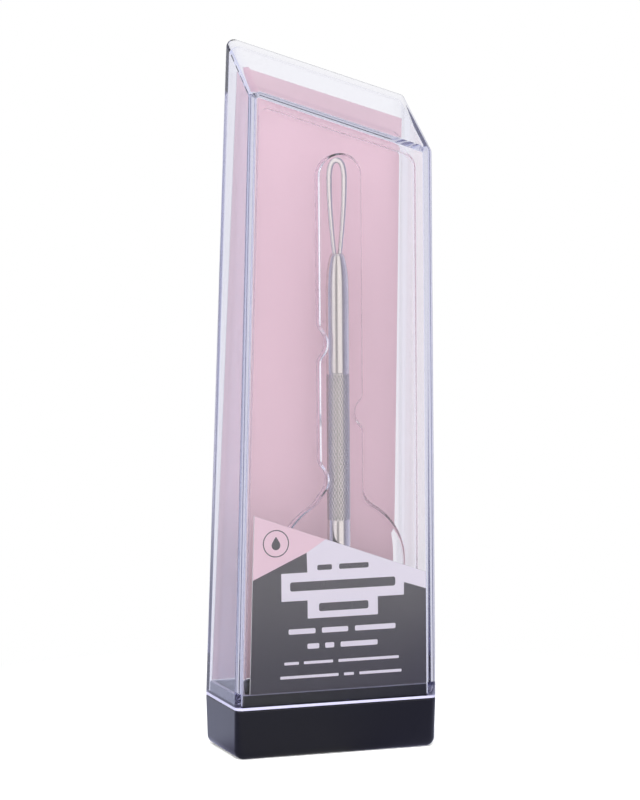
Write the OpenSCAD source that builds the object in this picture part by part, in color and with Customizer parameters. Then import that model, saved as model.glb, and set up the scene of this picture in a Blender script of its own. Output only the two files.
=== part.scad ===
/* [Case] */
// width of the case where the cover meets the base, mm
case_width = 44.4; // [30:0.1:70]
// depth of the case where the cover meets the base, mm
case_depth = 21.75; // [15:0.05:40]
// height of the base up to its ledge, mm
base_height = 10.4; // [6:0.1:20]
// height of the sloping top at its sharp front left corner, mm
front_left_height = 138.0; // [100:0.5:180]
// rise of the sloping top towards the back, mm per mm
top_rise = 0.665; // [0:0.005:1]
// fall of the sloping top towards the right, mm per mm
top_fall = 0.327; // [0:0.001:0.6]
// lean of the left wall, mm per mm of height
left_draft = 0.0342; // [0:0.0001:0.06]
// lean of the right wall, mm per mm of height
right_draft = 0.0026; // [0:0.0001:0.06]
// lean of the front and back walls, mm per mm of height
face_draft = 0.0141; // [0:0.0001:0.04]
// lean of the base towards its underside, mm per mm of height
base_draft = 0.0147; // [0:0.0001:0.04]
// rounding of the outer edges, mm
edge_radius = 1.6; // [0.5:0.1:4]
// rounding around the underside of the base, mm
foot_radius = 2.0; // [0.5:0.1:4]

/* [Cover] */
// thickness of the clear wall, mm
wall = 1.7; // [1:0.1:3]
// rounding inside the cover's corners, mm
inner_radius = 0.5; // [0.3:0.05:2]
// gap between the cover's lower edge and the ledge, mm
seat_gap = 0.1; // [0.05:0.01:0.3]

/* [Base] */
// height of the locating rim above the ledge, mm
rim_height = 3.1; // [1:0.1:8]
// thickness of the locating rim, mm
rim_wall = 0.8; // [0.5:0.05:2]
// gap between the rim and the cover on each side, mm
rim_clearance = 0.1; // [0.05:0.01:0.4]
// thickness of the base floor, mm
base_floor = 1.8; // [1:0.1:4]

/* [Tray] */
// depth of the tray face behind the outer front face, mm
tray_face = 2.8; // [2.7:0.05:5]
// thickness of the clear tray sheet, mm
sheet = 0.5; // [0.25:0.05:1]
// distance of the tray's sides inside the case's outer faces at the ledge, mm
tray_inset = 2.9; // [2.75:0.05:6]
// further inset of the tray's left side at its foot, mm
foot_inset = 0.2; // [0:0.05:1]
// height of the tray's bottom above the base floor at the front, mm
tray_lift = 0.5; // [0.4:0.05:1]
// drop of the tray's top edge below the case's sloping top, mm
tray_drop = 3.85; // [3:0.05:20]
// place across the case where the top edge is measured, mm
tray_top_x = 14.6; // [5:0.1:18]
// rise of the tray's top wall towards the back, mm per mm
tray_top_rise = 0.45; // [0:0.01:0.66]
// rounding of the tray's edges, mm
tray_edge = 1.9; // [0.8:0.1:3]
// rounding of the tray's top right corner, mm
tray_corner = 3.5; // [2:0.1:8]

/* [Pocket] */
// width of the long pocket for the tool, mm
pocket_width = 8.7; // [6:0.1:14]
// gap between the upper loop and the pocket's round end, mm
pocket_end_gap = 0.5; // [0.2:0.1:5]
// depth of the pocket and scoop behind the tray face, mm
pocket_depth = 5.0; // [3:0.1:10]
// rounding at the bottom of the pocket, mm
pocket_fillet = 2.0; // [0.5:0.1:2.4]
// radius of the round finger scoop, mm
scoop_radius = 13.5; // [8:0.1:16]
// height of the middle of the finger scoop, mm
scoop_height = 39.5; // [25:0.5:60]
// length of each gripping bulge along the tool, mm
bulge_length = 6.2; // [3:0.1:10]
// gap between a gripping bulge and the handle, mm
bulge_gap = 0.25; // [0.1:0.05:1]
// height of the upper left bulge, mm
bulge_high = 85.5; // [70:0.5:95]
// height of the right bulge, mm
bulge_middle = 71.0; // [60:0.5:80]
// height of the lower left bulge, mm
bulge_low = 57.1; // [50:0.1:65]

/* [Cards] */
// thickness of both printed cards, mm
card = 0.35; // [0.2:0.05:0.8]
// distance of the label card behind the outer front face, mm
label_depth = 1.85; // [1.8:0.05:2.3]
// distance of the label card's left edge inside the case's left face, mm
label_left_inset = 3.4; // [2:0.1:8]
// distance of the label card's right edge inside the case's right face, mm
label_right_inset = 2.0; // [2:0.1:8]
// height of the label card's top at its left edge, mm
label_high = 50.7; // [30:0.1:80]
// height of the label card's top at its right edge, mm
label_low = 37.05; // [20:0.1:80]
// distance of the backing card's right edge inside the case's right face, mm
backing_right_inset = 3.0; // [2:0.1:10]
// distance of the backing card's left edge inside the case's left face, mm
backing_left_inset = 2.2; // [2:0.1:10]
// drop of the backing card's top below the case's sloping top, mm
backing_drop = 3.85; // [3:0.05:20]
// gap behind the backing card at its foot, mm
backing_gap = 0.2; // [0.1:0.05:1]
// lean of the backing card towards the front face, mm per mm of height
backing_slope = 0.0575; // [0.02:0.0005:0.07]

/* [Tool] */
// distance of the tool's axis right of the middle, mm
tool_x = 2.1; // [-5:0.1:5]
// depth of the tool's axis behind the outer front face, mm
tool_depth = 5.1; // [4.5:0.05:6]
// diameter of the handle, mm
handle_diameter = 4.8; // [3:0.1:8]
// height of the tool's lower end above the tray's bottom, mm
tool_foot_gap = 1.5; // [1.4:0.1:6]
// length of the handle between its two tips, mm
handle_length = 80.4; // [60:0.1:100]
// length of each tapering end, mm
taper_length = 11.8; // [5:0.1:20]
// radius of the curved taper, mm
taper_radius = 52; // [20:1:120]
// length of the knurled grip, mm
grip_length = 30.7; // [15:0.1:50]
// depth of the groove that ends the grip, mm
grip_step = 0.06; // [0:0.01:0.3]
// distance of each wire leg from the tool's axis, mm
leg_offset = 0.5; // [0.4:0.05:1]
// diameter of the wire legs, mm
leg_diameter = 0.8; // [0.5:0.05:1]
// depth of the leg holes in the tips, mm
leg_depth = 4.5; // [2:0.1:8]
// gap around a leg in its hole, mm
leg_gap = 0.02; // [0.01:0.01:0.05]
// thickness of the wire across its flat, mm
wire_flat = 0.8; // [0.5:0.05:1.5]
// half width of the narrow loop along the wire's middle, mm
narrow_half = 1.65; // [1:0.05:3]
// width of the wire at the narrow loop's end, mm
narrow_wire = 1.2; // [0.6:0.05:1.6]
// half width of the wide loop along the wire's middle, mm
wide_half = 2.75; // [1.5:0.05:3.2]
// width of the wire at the wide loop's end, mm
wide_wire = 1.05; // [0.6:0.05:1.6]
// length of the whole tool, mm
tool_length = 120; // [90:1:150]

/* [Hidden] */
$fn = 64;
hull_sides = 32;
lean = atan(face_draft);
handle_radius = handle_diameter / 2;
top_slope = sqrt(1 + top_fall * top_fall + top_rise * top_rise);
pocket_half = pocket_width / 2;
tray_bottom = base_floor + tray_lift;
handle_middle = tray_bottom + tool_foot_gap + tool_length / 2;
tip_high = handle_middle + handle_length / 2;
tip_low = handle_middle - handle_length / 2;
loop_high = handle_middle + tool_length / 2;
loop_low = handle_middle - tool_length / 2;
pocket_top = loop_high + pocket_end_gap;
tray_half = case_width / 2 - tray_inset;
tray_half_foot = tray_half - foot_inset;
label_left = -case_width / 2 + label_left_inset;
label_right = case_width / 2 - label_right_inset;
backing_right = case_width / 2 - backing_right_inset;
card_foot = base_height + rim_height + seat_gap;
backing_foot_depth = case_depth - wall - backing_gap - card;
backing_foot = card_foot + face_draft * case_depth;
slim = 0.01;

// places on the leaning faces, t inside the outer skin at height z
function left_x(z, t) = -case_width / 2 + left_draft * (z - base_height) + t;
function right_x(z, t) = case_width / 2 - right_draft * (z - base_height) - t;
function front_y(z, t) = -case_depth / 2 + face_draft * (z - base_height) + t;
function back_y(z, t) = case_depth / 2 - face_draft * (z - base_height) - t;
function side_x(s, z, t) = s < 0 ? left_x(z, t) : right_x(z, t);
function side_y(s, z, t) = s < 0 ? front_y(z, t) : back_y(z, t);
corner_x = left_x(front_left_height, 0);
corner_y = front_y(front_left_height, 0);
top_level = front_left_height + top_fall * corner_x - top_rise * corner_y;
tray_top = top_level - top_fall * tray_top_x + top_rise * (corner_y + tray_face) - tray_drop;

// height where two walls and the sloping top meet, all t inside the skin
function meet_z(sx, sy, t) =
    (top_level - t * top_slope - top_fall * side_x(sx, 0, t) + top_rise * side_y(sy, 0, t))
    / (1 + top_fall * (side_x(sx, 1, t) - side_x(sx, 0, t))
       - top_rise * (side_y(sy, 1, t) - side_y(sy, 0, t)));

// a leaning block with a sloping top, rounded by r and lying t inside the skin
module case_block(t, r, foot) {
    hull() {
        for (sx = [-1, 1]) for (sy = [-1, 1]) {
            z = meet_z(sx, sy, t + r);
            translate([side_x(sx, foot, t + r), side_y(sy, foot, t + r), foot])
                cylinder(r = r, h = slim, $fn = hull_sides);
            translate([side_x(sx, z, t + r), side_y(sy, z, t + r), z])
                sphere(r = r, $fn = hull_sides);
        }
    }
}

// the frame that leans back with the front face: y is the depth behind that face
module leaning() {
    translate([0, -case_depth / 2, base_height])
        rotate([-lean, 0, 0])
            translate([0, 0, -base_height])
                children();
}

module case_cover() {
    color([0.93, 0.94, 0.98, 0.35])
    difference() {
        case_block(0, edge_radius, base_height + seat_gap);
        case_block(wall, inner_radius, base_height - 1);
    }
}

module base_body() {
    hull() {
        for (sx = [-1, 1]) for (sy = [-1, 1]) {
            x = case_width / 2;
            y = case_depth / 2;
            low_x = x - base_draft * (base_height - foot_radius) - foot_radius;
            low_y = y - base_draft * (base_height - foot_radius) - foot_radius;
            translate([sx * low_x, sy * low_y, foot_radius])
                sphere(r = foot_radius / cos(90 / (hull_sides / 2)), $fn = hull_sides);
            translate([sx * (x - edge_radius), sy * (y - edge_radius), base_height - slim])
                cylinder(r = edge_radius, h = slim, $fn = hull_sides);
        }
    }
}

// a rounded block between two heights that leans with the walls above the ledge
module rim_block(t, r, heights) {
    hull() {
        for (sx = [-1, 1]) for (sy = [-1, 1]) for (z = heights) {
            zz = max(z, base_height);
            translate([side_x(sx, zz, t + r), side_y(sy, zz, t + r), z])
                cylinder(r = r, h = slim, $fn = 16);
        }
    }
}

module case_base() {
    rim_out = wall + rim_clearance;
    rim_in = rim_out + rim_wall;
    rim_top = base_height + rim_height;
    color([0.1, 0.1, 0.11])
    difference() {
        union() {
            base_body();
            rim_block(rim_out, inner_radius - rim_clearance, [base_height - 2, rim_top - slim]);
        }
        rim_block(rim_in, inner_radius, [base_floor, base_height, rim_top + 2]);
    }
}

// depth of the backing card's front at height z, in the leaning frame
function backing_depth(z) = backing_foot_depth - backing_slope * (z - backing_foot);
// height of the backing card's top at place x
function backing_top(x) = (top_level - backing_drop - top_fall * x
    + top_rise * (-case_depth / 2 + backing_depth(0) - face_draft * base_height))
    / (1 + top_rise * (backing_slope - face_draft));
// how far back the tray reaches at height z, in the leaning frame
function tray_back(z) = min(case_depth - 2 * face_draft * (z - base_height) - tray_face,
                            backing_depth(z) - 0.1);
function tray_left(z) = -min(tray_half_foot, tray_half - left_draft * (z - base_height));
function tray_roof(x, y) = tray_top + top_fall * (tray_top_x - x) + tray_top_rise * (y - tray_face);

// one corner of the tray running back from its rounded front edge
module tray_edge_run(x, z, r, edge, rise, extra) {
    back = tray_back(z + r + 12 * rise) + extra;
    ring = r - edge;
    translate([x, tray_face + tray_edge, z])
        rotate([90, 0, 0])
            rotate_extrude($fn = hull_sides)
                translate([ring, 0])
                    intersection() {
                        circle(r = edge, $fn = hull_sides);
                        translate([0, -edge])
                            square([edge, 2 * edge]);
                    }
    translate([x, back, z + rise * (back - tray_face - tray_edge)])
        rotate([90, 0, 0])
            cylinder(r = r, h = slim, $fn = hull_sides);
}

// the tray's outer form, or its inner form when in is the sheet thickness
module tray_block(in, extra) {
    r = tray_edge;
    bend = base_height + (tray_half - tray_half_foot) / left_draft;
    left_top = tray_left(130);
    lz = tray_roof(left_top + r, tray_face) - r * 1.05;
    rz = tray_roof(tray_half - tray_corner, tray_face) - tray_corner * 1.05;
    hull() {
        tray_edge_run(-tray_half_foot + r, tray_bottom + r, r - in, r - in, 0, extra);
        tray_edge_run(tray_half - r, tray_bottom + r, r - in, r - in, 0, extra);
        tray_edge_run(-tray_half_foot + r, bend, r - in, r - in, 0, extra);
        tray_edge_run(tray_left(lz) + r, lz, r - in, r - in, tray_top_rise, extra);
        tray_edge_run(tray_half - tray_corner, rz, tray_corner - in, r - in, tray_top_rise, extra);
    }
}

// half section of a recess: half its width across, its depth upwards
module recess_half(half, depth, f) {
    square([half, depth - f]);
    square([half - f, depth]);
    translate([half - f, depth - f])
        intersection() {
            circle(r = f);
            square(f);
        }
}

// the long pocket and the round scoop, grown by t
module recess(t) {
    half = pocket_half + t;
    depth = pocket_depth + t;
    f = pocket_fillet + t;
    end = pocket_top - pocket_half;
    low = tray_bottom + 0.9 - t;
    translate([tool_x, tray_face, low])
        linear_extrude(end - low) {
            recess_half(half, depth, f);
            mirror([1, 0])
                recess_half(half, depth, f);
        }
    translate([tool_x, tray_face, end])
        rotate([-90, 0, 0])
            rotate_extrude()
                recess_half(half, depth, f);
    translate([tool_x, tray_face, scoop_height])
        rotate([-90, 0, 0])
            rotate_extrude()
                recess_half(scoop_radius + t, depth, f);
}

// one gripping bulge on side s at height z, shrunk by t
module bulge(s, z, t) {
    reach = pocket_half - handle_radius - bulge_gap;
    r = (bulge_length * bulge_length / 4 + reach * reach) / (2 * reach);
    translate([tool_x + s * (pocket_half - reach + r), tray_face + t, z])
        rotate([-90, 0, 0])
            cylinder(r = r - t, h = pocket_depth + 3);
}

module bulges(t) {
    bulge(-1, bulge_high, t);
    bulge(1, bulge_middle, t);
    bulge(-1, bulge_low, t);
}

module tool_tray() {
    color([0.95, 0.93, 0.97, 0.4])
    leaning()
    difference() {
        union() {
            difference() {
                tray_block(0, 0);
                tray_block(sheet, 2);
            }
            intersection() {
                recess(sheet);
                tray_block(0, 0);
            }
        }
        difference() {
            translate([0, -1, 0])
                recess(0);
            bulges(0);
        }
        difference() {
            recess(0);
            bulges(0);
        }
        bulges(sheet);
    }
}

module backing_card() {
    low_left = left_x(backing_foot, backing_left_inset);
    left_top = left_x(backing_top(low_left), backing_left_inset);
    stretch = sqrt(1 + backing_slope * backing_slope);
    color([0.95, 0.76, 0.83])
    leaning()
        translate([0, backing_foot_depth, backing_foot])
            rotate([90 + atan(backing_slope), 0, 0])
                translate([0, 0, -card])
                    linear_extrude(card)
                        polygon([[low_left, 0],
                                 [backing_right, 0],
                                 [backing_right, (backing_top(backing_right) - backing_foot) * stretch],
                                 [left_top, (backing_top(left_top) - backing_foot) * stretch]]);
}

module label_card() {
    color([0.36, 0.35, 0.4])
    translate([0, -case_depth / 2, base_height])
        rotate([90 - lean, 0, 0])
            translate([0, -base_height, -label_depth - card])
                linear_extrude(card)
                    polygon([[label_left, card_foot],
                             [label_right, card_foot],
                             [label_right, label_low],
                             [label_left + left_draft * (label_high - card_foot), label_high]]);
}

// puts its children on the tool's axis
module on_axis() {
    leaning()
        translate([tool_x, tool_depth, 0])
            children();
}

module handle_half() {
    straight = handle_length / 2 - taper_length;
    square([handle_radius, straight]);
    intersection() {
        translate([0, straight])
            square([handle_radius, taper_length]);
        translate([handle_radius - taper_radius, straight])
            circle(r = taper_radius);
    }
}

module handle() {
    groove = 0.35;
    color([0.72, 0.7, 0.69])
    on_axis()
    difference() {
        translate([0, 0, handle_middle])
            rotate_extrude() {
                handle_half();
                mirror([0, 1])
                    handle_half();
            }
        for (s = [-1, 1]) translate([0, 0, handle_middle + s * (grip_length + groove) / 2 - groove / 2])
            difference() {
                cylinder(r = handle_radius + 1, h = groove);
                translate([0, 0, -1])
                    cylinder(r = handle_radius - grip_step, h = groove + 2);
            }
        for (s = [-1, 1]) translate([s * leg_offset, 0, tip_high - leg_depth])
            cylinder(r = leg_diameter / 2 + leg_gap, h = leg_depth + 1);
        for (s = [-1, 1]) translate([s * leg_offset, 0, tip_low - 1])
            cylinder(r = leg_diameter / 2 + leg_gap, h = leg_depth + 1);
    }
}

// point of a smooth curve through four guiding points
function curve(p, t) = p[0] * pow(1 - t, 3) + p[1] * 3 * t * pow(1 - t, 2)
    + p[2] * 3 * t * t * (1 - t) + p[3] * pow(t, 3);

// middle line of half a loop: from the foot of a leg to the far end, u across and w along
function half_loop(h, full, end, start, belly) = concat(
    [[start, -leg_depth + 0.3], [start, -2], [start, -0.4]],
    [for (i = [0:8]) curve([[start, 0], [belly[0], belly[1]], [h, belly[2]], [h, full]], i / 8)],
    [for (i = [1:8]) curve([[h, full], [h, full + (end - full) * 0.58],
                            [h * belly[3], end], [0, end]], i / 8)]);

// a wire bent along a loop, w0 wide at the legs and w1 wide at its far end
module loop(h, full, top, belly, w1) {
    end = top - w1 / 2;
    side = half_loop(h, full, end, leg_offset, belly);
    n = len(side);
    path = concat(side, [for (i = [n - 2:-1:0]) [-side[i][0], side[i][1]]]);
    m = len(path);
    k = 12;
    points = [for (i = [0:m - 1])
        let (a = path[max(i - 1, 0)], b = path[min(i + 1, m - 1)])
        let (d = (b - a) / norm(b - a))
        let (g = min(1, max(0, path[i][1] / full)))
        let (w = leg_diameter + (w1 - leg_diameter) * g)
        let (f = leg_diameter + (wire_flat - leg_diameter) * g)
        let (e = 1 - 0.35 * g)
        for (j = [0:k - 1])
            let (c = cos(j * 360 / k), s = sin(j * 360 / k))
            let (u = sign(c) * pow(abs(c), e) * w / 2)
            let (v = sign(s) * pow(abs(s), e) * f / 2)
            [path[i][0] + d[1] * u, v, path[i][1] - d[0] * u]];
    faces = concat(
        [[for (j = [0:k - 1]) j]],
        [[for (j = [k - 1:-1:0]) (m - 1) * k + j]],
        [for (i = [0:m - 2]) for (j = [0:k - 1])
            [i * k + j, (i + 1) * k + j, (i + 1) * k + (j + 1) % k]],
        [for (i = [0:m - 2]) for (j = [0:k - 1])
            [i * k + j, (i + 1) * k + (j + 1) % k, i * k + (j + 1) % k]]);
    polyhedron(points = points, faces = faces, convexity = 4);
}

module narrow_loop() {
    reach = loop_high - tip_high;
    color([0.76, 0.74, 0.72])
    on_axis()
        translate([0, 0, tip_high])
            loop(narrow_half, reach * 0.765, reach, [1.05, reach * 0.195, reach * 0.49, 0.76], narrow_wire);
}

module wide_loop() {
    reach = tip_low - loop_low;
    color([0.76, 0.74, 0.72])
    on_axis()
        translate([0, 0, tip_low])
            rotate([180, 0, 0])
                loop(wide_half, reach * 0.69, reach, [1.0, reach * 0.22, reach * 0.46, 0.6], wide_wire);
}

case_base();
case_cover();
tool_tray();
backing_card();
label_card();
handle();
narrow_loop();
wide_loop();
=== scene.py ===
"""A blackhead extractor standing in its clear display case."""

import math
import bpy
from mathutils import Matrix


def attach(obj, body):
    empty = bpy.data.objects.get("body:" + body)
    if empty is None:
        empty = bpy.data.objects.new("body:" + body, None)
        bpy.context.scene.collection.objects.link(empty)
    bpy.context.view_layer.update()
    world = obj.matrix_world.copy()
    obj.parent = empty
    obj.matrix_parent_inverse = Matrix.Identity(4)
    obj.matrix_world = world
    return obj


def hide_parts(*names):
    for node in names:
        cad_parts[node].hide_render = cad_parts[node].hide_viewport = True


bl_info = {
    "name": "Extractor in a clear case",
    "version": (1, 0, 0),
    "blender": (4, 5, 0),
    "location": "3D View > Sidebar > Case",
    "description": "Builds a steel loop extractor in its clear standing case",
    "category": "Object",
}

import bmesh
import bpy
from bpy.props import FloatProperty, FloatVectorProperty, PointerProperty
from mathutils import Matrix, Vector
from mathutils.geometry import tessellate_polygon

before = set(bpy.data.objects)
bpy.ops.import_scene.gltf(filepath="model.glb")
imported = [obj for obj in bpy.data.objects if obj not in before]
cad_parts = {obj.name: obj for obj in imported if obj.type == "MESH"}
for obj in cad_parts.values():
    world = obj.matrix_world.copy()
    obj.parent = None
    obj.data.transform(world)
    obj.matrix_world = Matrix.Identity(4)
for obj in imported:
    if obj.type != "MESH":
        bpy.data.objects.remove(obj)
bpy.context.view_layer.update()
MM = 0.001
CORNERS = ((-1, -1), (1, -1), (1, 1), (-1, 1))
EDGE_STEPS = 8  # facets round each upright edge of the case


def size(label, default, words):
    """A length that a user may change."""
    return FloatProperty(name=label, default=default, description=words + ", in mm", unit="NONE")


def tone(label, default, words):
    """A colour that a user may change."""
    return FloatVectorProperty(
        name=label, default=default, description=words, subtype="COLOR", size=3, min=0, max=1
    )


class CaseSizes(bpy.types.PropertyGroup):
    """Sizes of the clear case, in mm."""

    width: size("Width", 44.4, "Width of the case at its ledge")
    depth: size("Depth", 21.75, "Depth of the case at its ledge")
    base_height: size("Base height", 10.4, "Height of the base up to its ledge")
    corner_height: size("Corner height", 138.0, "Height of the sharp front left corner of the top")
    top_rise: size("Top rise", 0.665, "Rise of the top towards the back for each mm")
    top_fall: size("Top fall", 0.327, "Fall of the top towards the right for each mm")
    left_draft: size("Left draft", 0.0342, "Lean of the left wall for each mm of height")
    right_draft: size("Right draft", 0.0026, "Lean of the right wall for each mm of height")
    face_draft: size("Face draft", 0.0141, "Lean of the front and back for each mm of height")
    base_draft: size("Base draft", 0.0147, "Lean of the base walls for each mm of height")
    edge_radius: size("Edge radius", 1.6, "Rounding of the outer edges")
    foot_radius: size("Foot radius", 2.0, "Rounding around the underside")
    wall: size("Wall", 1.7, "Thickness of the clear wall")
    inner_radius: size("Inner radius", 0.5, "Rounding inside the cover's corners")
    seat_gap: size("Seat gap", 0.1, "Gap between the cover and the ledge")
    rim_height: size("Rim height", 3.1, "Height of the rim above the ledge")
    rim_wall: size("Rim wall", 0.8, "Thickness of the rim")
    rim_clearance: size("Rim clearance", 0.1, "Gap between the rim and the cover")
    floor: size("Floor", 1.8, "Thickness of the base floor")


class TraySizes(bpy.types.PropertyGroup):
    """Sizes of the formed tray, in mm."""

    face: size("Face", 2.8, "Depth of the tray face behind the case's front")
    sheet: size("Sheet", 0.45, "Thickness of the clear sheet")
    inset: size("Inset", 2.9, "Distance of the tray's sides inside the case")
    foot_inset: size("Foot inset", 0.2, "Further inset of the left side at the foot")
    bottom: size("Bottom", 2.3, "Height of the tray's underside")
    top: size("Top", 125.4, "Height of the top edge at the place below")
    top_place: size("Top place", 14.6, "Place across the case where the top is measured")
    top_rise: size("Top rise", 0.45, "Rise of the top wall towards the back for each mm")
    edge: size("Edge", 1.9, "Rounding of the tray's edges")
    foot_edge: size("Foot edge", 0.5, "Height of the rounding along the tray's foot")
    corner: size("Corner", 3.5, "Rounding of the top right corner")
    pocket_half: size("Pocket half width", 4.35, "Half the width of the long pocket")
    pocket_top: size("Pocket top", 124.3, "Height of the pocket's round end")
    pocket_low: size("Pocket foot", 3.2, "Height of the pocket's lower end")
    pocket_depth: size("Pocket depth", 5.0, "Depth of the pocket behind the face")
    scoop_radius: size("Scoop radius", 13.5, "Radius of the finger scoop")
    scoop_height: size("Scoop height", 39.5, "Height of the middle of the scoop")
    bulge_length: size("Bulge length", 6.2, "Length of each gripping bulge")
    bulge_gap: size("Bulge gap", 0.25, "Gap between a bulge and the handle")
    card_foot: size("Card foot", 13.9, "Height of the foot of the backing card")
    card_depth: size("Card depth", 19.5, "Depth of the backing card's front at its foot")
    card_slope: size("Card slope", 0.0575, "Lean of the backing card for each mm of height")


class ToolSizes(bpy.types.PropertyGroup):
    """Sizes of the steel tool, in mm."""

    place: size("Place", 2.1, "Distance of the tool's axis right of the middle")
    depth: size("Depth", 5.1, "Depth of the tool's axis behind the case's front")
    middle: size("Middle", 63.8, "Height of the middle of the handle")
    radius: size("Radius", 2.4, "Radius of the handle")
    handle: size("Handle", 80.4, "Length of the handle between its tips")
    taper: size("Taper", 11.8, "Length of each tapering end")
    tip: size("Tip", 1.3, "Radius of the handle's tips")
    grip: size("Grip", 30.7, "Length of the knurled grip")
    knurl_pitch: size("Knurl pitch", 1.35, "Height of one diamond of the knurl")
    knurl_depth: size("Knurl depth", 0.13, "Depth of the knurl")
    length: size("Length", 120.0, "Length of the whole tool")
    leg_offset: size("Leg offset", 0.62, "Distance of each wire leg from the axis")
    leg: size("Leg", 0.92, "Diameter of the wire legs")
    flat: size("Flat", 0.8, "Thickness of the wire across its flat")
    narrow_half: size("Narrow half", 1.65, "Half width of the narrow loop")
    narrow_wire: size("Narrow wire", 1.2, "Width of the wire at the narrow loop's end")
    wide_half: size("Wide half", 2.75, "Half width of the wide loop")
    wide_wire: size("Wide wire", 1.05, "Width of the wire at the wide loop's end")


class Colours(bpy.types.PropertyGroup):
    """Colours of the finishes."""

    cover: tone("Cover", (0.975, 0.975, 0.99), "Clear cover")
    # Painted shade: the darker colour the clear walls take where they are seen at a slant.
    rim: tone("Cover's rims", (0.25, 0.25, 0.4), "Clear cover where it is seen at a slant")
    tray: tone("Tray", (0.985, 0.98, 0.99), "Clear tray")
    base: tone("Base", (0.006, 0.006, 0.01), "Dark glossy base")
    # Painted highlight along the rounded top of the base's rim.
    rim_highlight: tone("Rim line", (0.22, 0.22, 0.3), "Polished edge on top of the base's rim")
    # Painted glow: a pale opaque band stands in for light leaving the clear wall at the cover's foot.
    painted_foot_glow: tone("Foot line", (0.47, 0.46, 0.63), "Lit edge at the foot of the cover")
    pink: tone("Pink", (0.95, 0.65, 0.73), "Backing card")
    corner: tone("Corner", (0.94, 0.66, 0.75), "Pink corner of the label")
    pale: tone("Pale", (0.9, 0.84, 0.93), "Pale areas of the label")
    dark: tone("Dark", (0.052, 0.048, 0.064), "Dark area of the label")
    steel: tone("Steel", (0.72, 0.665, 0.64), "Satin steel of the handle")
    wire: tone("Wire", (0.76, 0.71, 0.7), "Polished steel of the loops")


class Studio(bpy.types.PropertyGroup):
    """Light and camera."""

    azimuth: FloatProperty(
        name="Azimuth", default=math.radians(19.57), subtype="ANGLE",
        description="Angle of the camera to the left of the front",
    )
    elevation: FloatProperty(
        name="Elevation", default=math.radians(6.45), subtype="ANGLE",
        description="Angle of the camera above the horizon",
    )
    roll: FloatProperty(
        name="Roll", default=math.radians(0.17), subtype="ANGLE",
        description="Tilt of the camera about its view",
    )
    distance: size("Distance", 800.0, "Distance of the camera from its target")
    target_height: size("Target height", 72.98, "Height that the camera looks at")
    lens: FloatProperty(
        name="Lens", default=172.67, unit="CAMERA",
        description="Focal length on a 36 mm high frame",
    )
    softbox: FloatProperty(name="Softboxes", default=1.0, description="Strength of the lamps")


PARTS = (CaseSizes, TraySizes, ToolSizes, Colours, Studio)


def case():
    return bpy.context.scene.case_sizes


def tray():
    return bpy.context.scene.tray_sizes


def tool():
    return bpy.context.scene.tool_sizes


def paint():
    return bpy.context.scene.case_colours


def studio():
    return bpy.context.scene.case_studio


# Places on the leaning case


def side_x(s, z, t):
    """Place across of the left (s < 0) or right wall, t inside its skin at height z."""
    c = case()
    h = z - c.base_height
    if s < 0:
        return -c.width / 2 + c.left_draft * h + t
    return c.width / 2 - c.right_draft * h - t


def side_y(s, z, t):
    """Place in depth of the front (s < 0) or back wall, t inside its skin at height z."""
    c = case()
    return s * (c.depth / 2 - c.face_draft * (z - c.base_height) - t)


def top_slope():
    """Length of the top's upward direction, its height being 1."""
    c = case()
    return math.sqrt(1 + c.top_fall**2 + c.top_rise**2)


def meet_z(sx, sy, t):
    """Height where two walls and the sloping top meet, all t inside the skin."""
    c = case()
    level = (
        c.corner_height
        + c.top_fall * side_x(-1, c.corner_height, 0)
        - c.top_rise * side_y(-1, c.corner_height, 0)
    )
    x0, y0 = side_x(sx, 0, t), side_y(sy, 0, t)
    dx, dy = side_x(sx, 1, t) - x0, side_y(sy, 1, t) - y0
    return (level - t * top_slope() - c.top_fall * x0 + c.top_rise * y0) / (
        1 + c.top_fall * dx - c.top_rise * dy
    )


def lean():
    """From the frame that leans with the front face, y being depth behind it, to the case."""
    c = case()
    return (
        Matrix.Translation((0, -c.depth / 2, c.base_height))
        @ Matrix.Rotation(-math.atan(c.face_draft), 4, "X")
        @ Matrix.Translation((0, 0, -c.base_height))
    )


# Meshes


def piece(name, verts, faces, body, material, replaces=(), place=None, sharp=40, tint=None):
    """A mesh object from points in mm, riding on a body.

    tint gives each point's share of a second colour, used here for painted highlight and painted
    shade.
    """
    mesh = bpy.data.meshes.new(name)
    place = place or Matrix.Identity(4)
    mesh.from_pydata([tuple((place @ Vector(v)) * MM) for v in verts], [], faces)
    if tint:
        layer = mesh.attributes.new("tint", "FLOAT", "POINT")
        layer.data.foreach_set("value", [float(v) for v in tint])
    edit = bmesh.new()
    edit.from_mesh(mesh)
    bmesh.ops.remove_doubles(edit, verts=edit.verts, dist=2e-7)
    bmesh.ops.dissolve_degenerate(edit, edges=edit.edges, dist=1e-8)
    bmesh.ops.recalc_face_normals(edit, faces=edit.faces)
    edit.to_mesh(mesh)
    edit.free()
    mesh.shade_smooth()
    mesh.set_sharp_from_angle(angle=math.radians(sharp))
    mesh.materials.append(material)
    obj = bpy.data.objects.new(name, mesh)
    bpy.context.scene.collection.objects.link(obj)
    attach(obj, body)
    if replaces:
        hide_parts(*replaces)
    return obj


def weighted(obj):
    """Keep the large faces flat up to their rounded edges."""
    mod = obj.modifiers.new("flat_faces", "WEIGHTED_NORMAL")
    mod.keep_sharp = True
    mod.weight = 100
    return obj


def bridge(faces, a, b, n):
    """Quads between the rings that start at a and b, n points each."""
    for i in range(n):
        j = (i + 1) % n
        faces.append((a + i, a + j, b + j, b + i))


def slerp(a, b, t):
    """Direction at share t of the turn from a to b."""
    angle = a.angle(b)
    if angle < 1e-6:
        return a.copy()
    s = math.sin(angle)
    return (a * (math.sin((1 - t) * angle) / s) + b * (math.sin(t * angle) / s)).normalized()


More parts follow.
